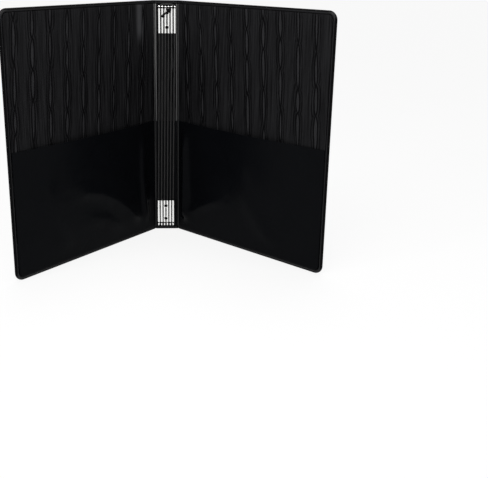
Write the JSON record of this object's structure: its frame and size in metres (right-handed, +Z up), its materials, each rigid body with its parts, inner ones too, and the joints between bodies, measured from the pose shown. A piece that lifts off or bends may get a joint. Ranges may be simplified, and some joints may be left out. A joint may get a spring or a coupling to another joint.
{
  "type": "music folder",
  "caption": "Black music folder standing open: stiff leatherette covers hinged to a spine with metal string plates, an elastic cord and a pocket in each cover.",
  "frame": {"origin": "below the middle of the open folder, on the surface that it stands on", "axes": "+Z up along the folds, -Y towards the inside of the folder, +X towards the right cover"},
  "size_m": [0.3556, 0.1748, 0.3048],
  "materials": {
    "leatherette": "fine-grained black leatherette, semi-matt",
    "board": "grey-brown binder's board",
    "moire": "black moire-figured lining with a soft sheen",
    "smooth_vinyl": "smooth black vinyl sheet, satin gloss",
    "nickel": "bright nickel plate",
    "elastic": "black braided elastic"
  },
  "bodies": {
    "spine": {"spine_skin": "leatherette", "spine_board": "board", "spine_lining": "moire", "spine_pocket_strip": "smooth_vinyl", "top_string_plate": "nickel", "bottom_string_plate": "nickel", "rivet_1": "nickel", "rivet_2": "nickel", "rivet_3": "nickel", "rivet_4": "nickel", "elastic_cord": "elastic"},
    "left_cover": {"left_cover_skin": "leatherette", "left_cover_board": "board", "left_cover_lining": "moire", "left_cover_pocket": "smooth_vinyl"},
    "right_cover": {"right_cover_skin": "leatherette", "right_cover_board": "board", "right_cover_lining": "moire", "right_cover_pocket": "smooth_vinyl"}
  },
  "joints": [
    {"name": "left_fold", "type": "hinge", "parent": "spine", "child": "left_cover", "pos_m": [-0.02309, 0.08413, 0.1524], "axis": [0, 0, 1], "range_deg": [-48, 42]},
    {"name": "right_fold", "type": "hinge", "parent": "spine", "child": "right_cover", "pos_m": [0.00891, 0.08413, 0.1524], "axis": [0, 0, -1], "range_deg": [-43, 47]}
  ]
}
